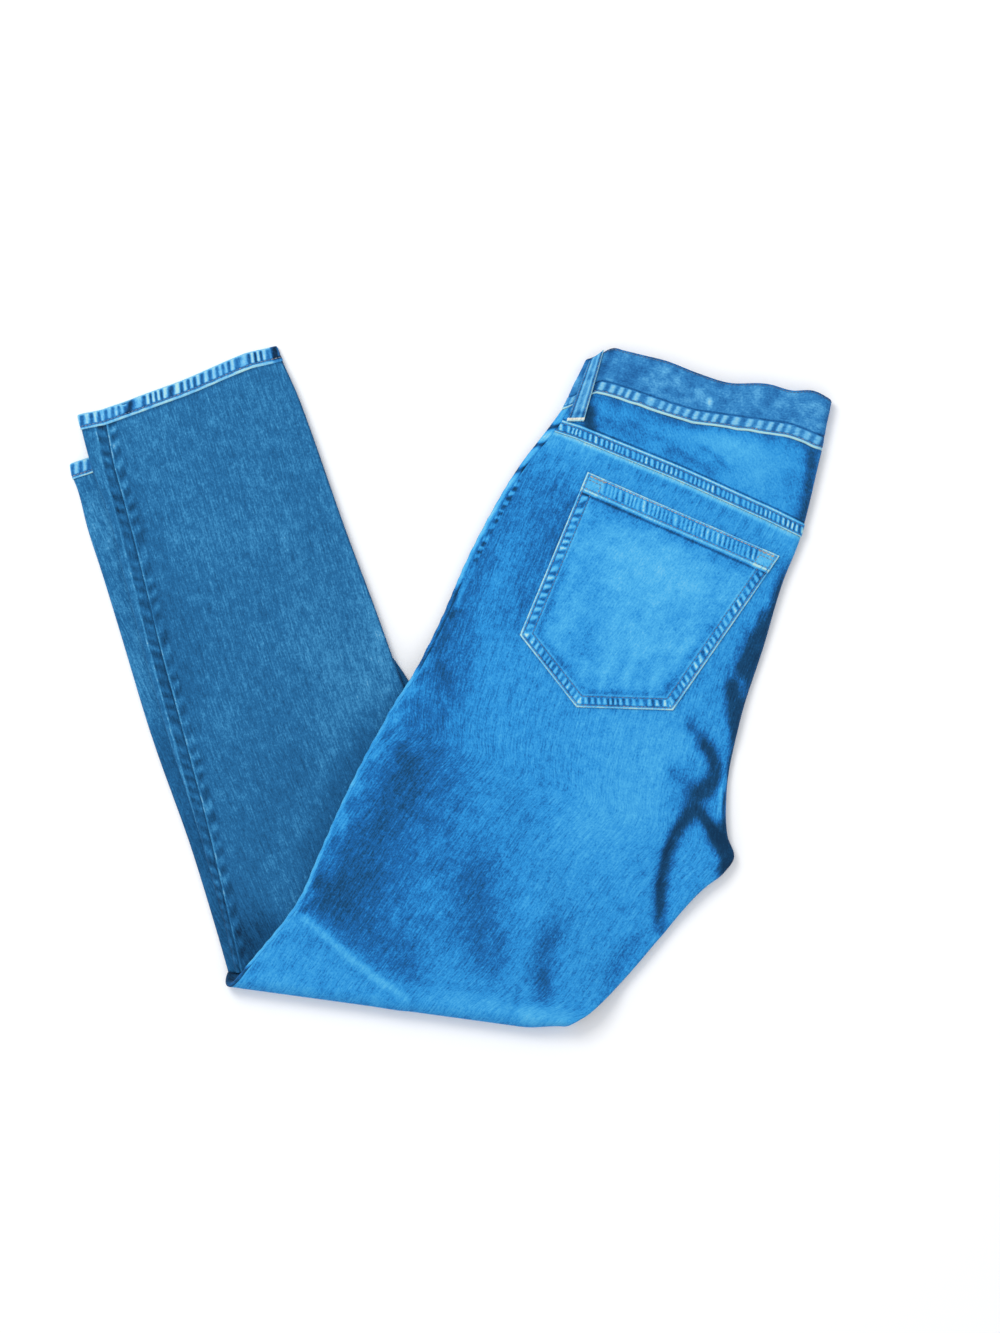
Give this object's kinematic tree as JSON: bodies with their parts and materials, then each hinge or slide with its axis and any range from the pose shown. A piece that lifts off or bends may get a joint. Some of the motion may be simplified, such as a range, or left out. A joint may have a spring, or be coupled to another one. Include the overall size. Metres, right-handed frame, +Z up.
{
  "type": "folded slim jeans",
  "caption": "Slim denim jeans folded in half along the rise with one back outward, then folded under once at the knees, lying flat.",
  "frame": {"origin": "centre of the bounding box at the height of the surface that the jeans lie on", "axes": "+X from the hems towards the waistband's centre back, along the longest extent; +Y from the knee fold towards the waistband and hems; +Z up from the surface, through the stacked layers"},
  "size_m": [0.6079, 0.5439, 0.0224],
  "materials": {
    "denim_back": "stonewashed mid-blue twill, worn paler at the seat and thigh",
    "denim_calf": "the same twill, less worn and a little greyer on the lower legs",
    "denim_pocket": "the same twill, the palest and most worn part",
    "denim_inner": "folded layers of the same twill seen at their edges",
    "denim_bands": "several plies with roped puckers along tan topstitching"
  },
  "bodies": {
    "root": {"waistband": "denim_bands", "belt_loop": "denim_bands", "yoke_right": "denim_back", "back_right": "denim_back", "back_pocket_right": "denim_pocket", "front_right": "denim_inner", "inner_layers": "denim_inner", "calf_back_left": "denim_calf", "calf_front_left": "denim_calf", "calf_right": "denim_calf", "hem_left": "denim_bands", "hem_right": "denim_bands"}
  },
  "joints": []
}
